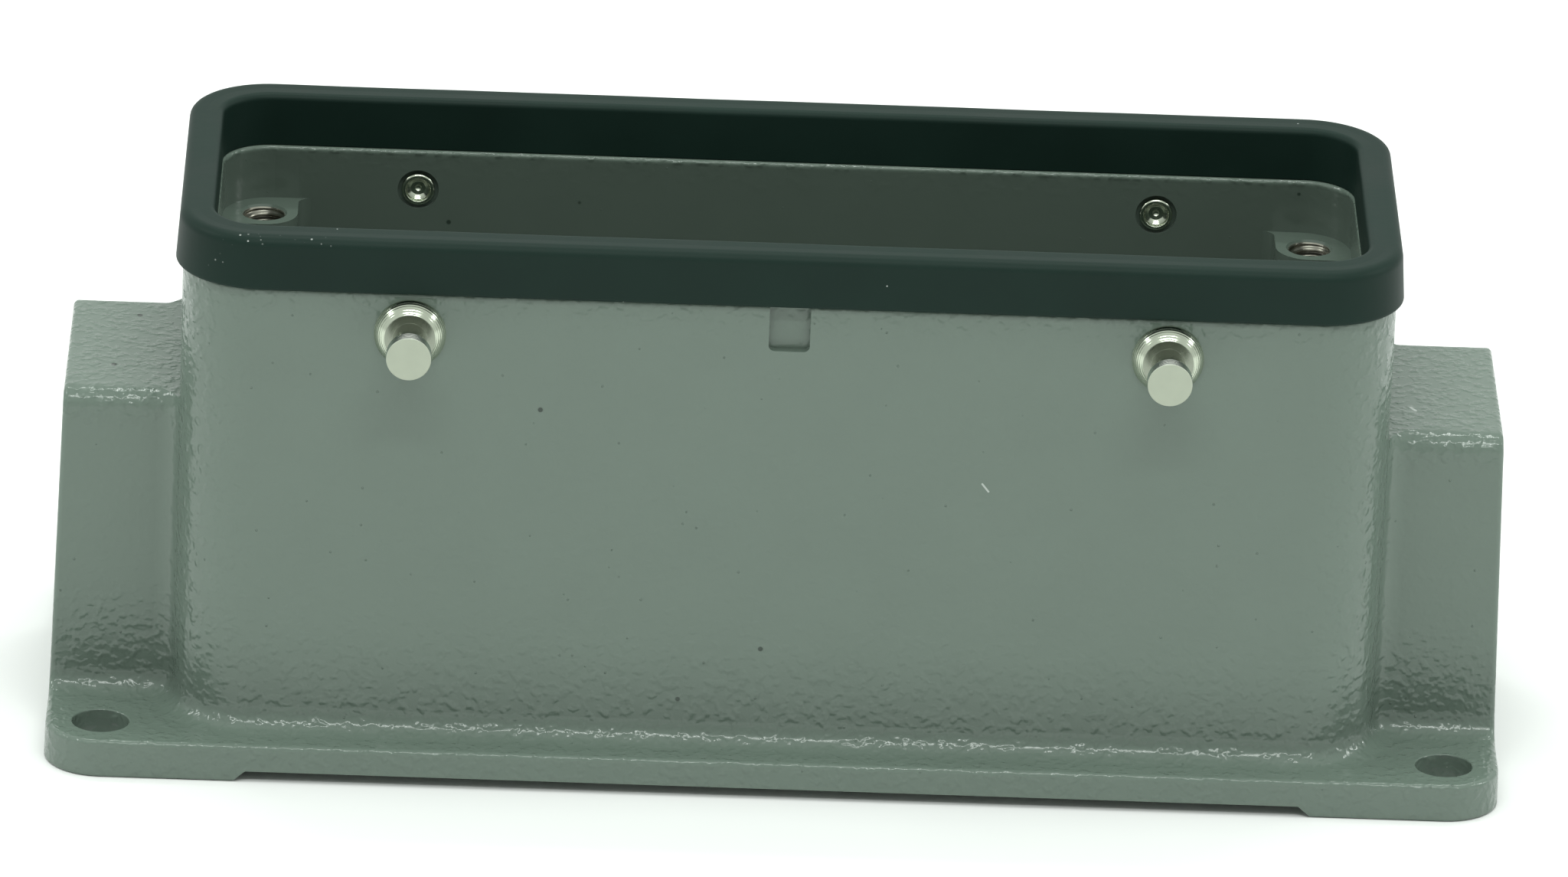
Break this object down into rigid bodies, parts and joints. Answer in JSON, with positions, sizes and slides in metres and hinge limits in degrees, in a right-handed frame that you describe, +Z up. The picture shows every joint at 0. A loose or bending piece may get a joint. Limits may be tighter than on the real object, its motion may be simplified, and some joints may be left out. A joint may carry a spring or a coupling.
{
  "type": "connector base housing",
  "caption": "Open-topped rectangular base housing for a heavy-duty connector, with screw flange, threaded cable entries in end blocks, rim gasket and locking pegs.",
  "frame": {"origin": "centre of the mounting face, on the surface that the base is screwed to", "axes": "+X along the length, +Y across it, +Z up through the open top towards the mating hood"},
  "size_m": [0.143, 0.0568, 0.0554],
  "materials": {
    "painted_casting": "satin",
    "black_rubber": "matte",
    "machined_casting": "satin",
    "turned_steel": "satin"
  },
  "bodies": {
    "root": {"housing": "painted_casting", "rim_gasket": "black_rubber", "locking_peg_front_left": "turned_steel", "locking_peg_front_right": "turned_steel", "locking_peg_rear_left": "turned_steel", "locking_peg_rear_right": "turned_steel"}
  },
  "joints": []
}
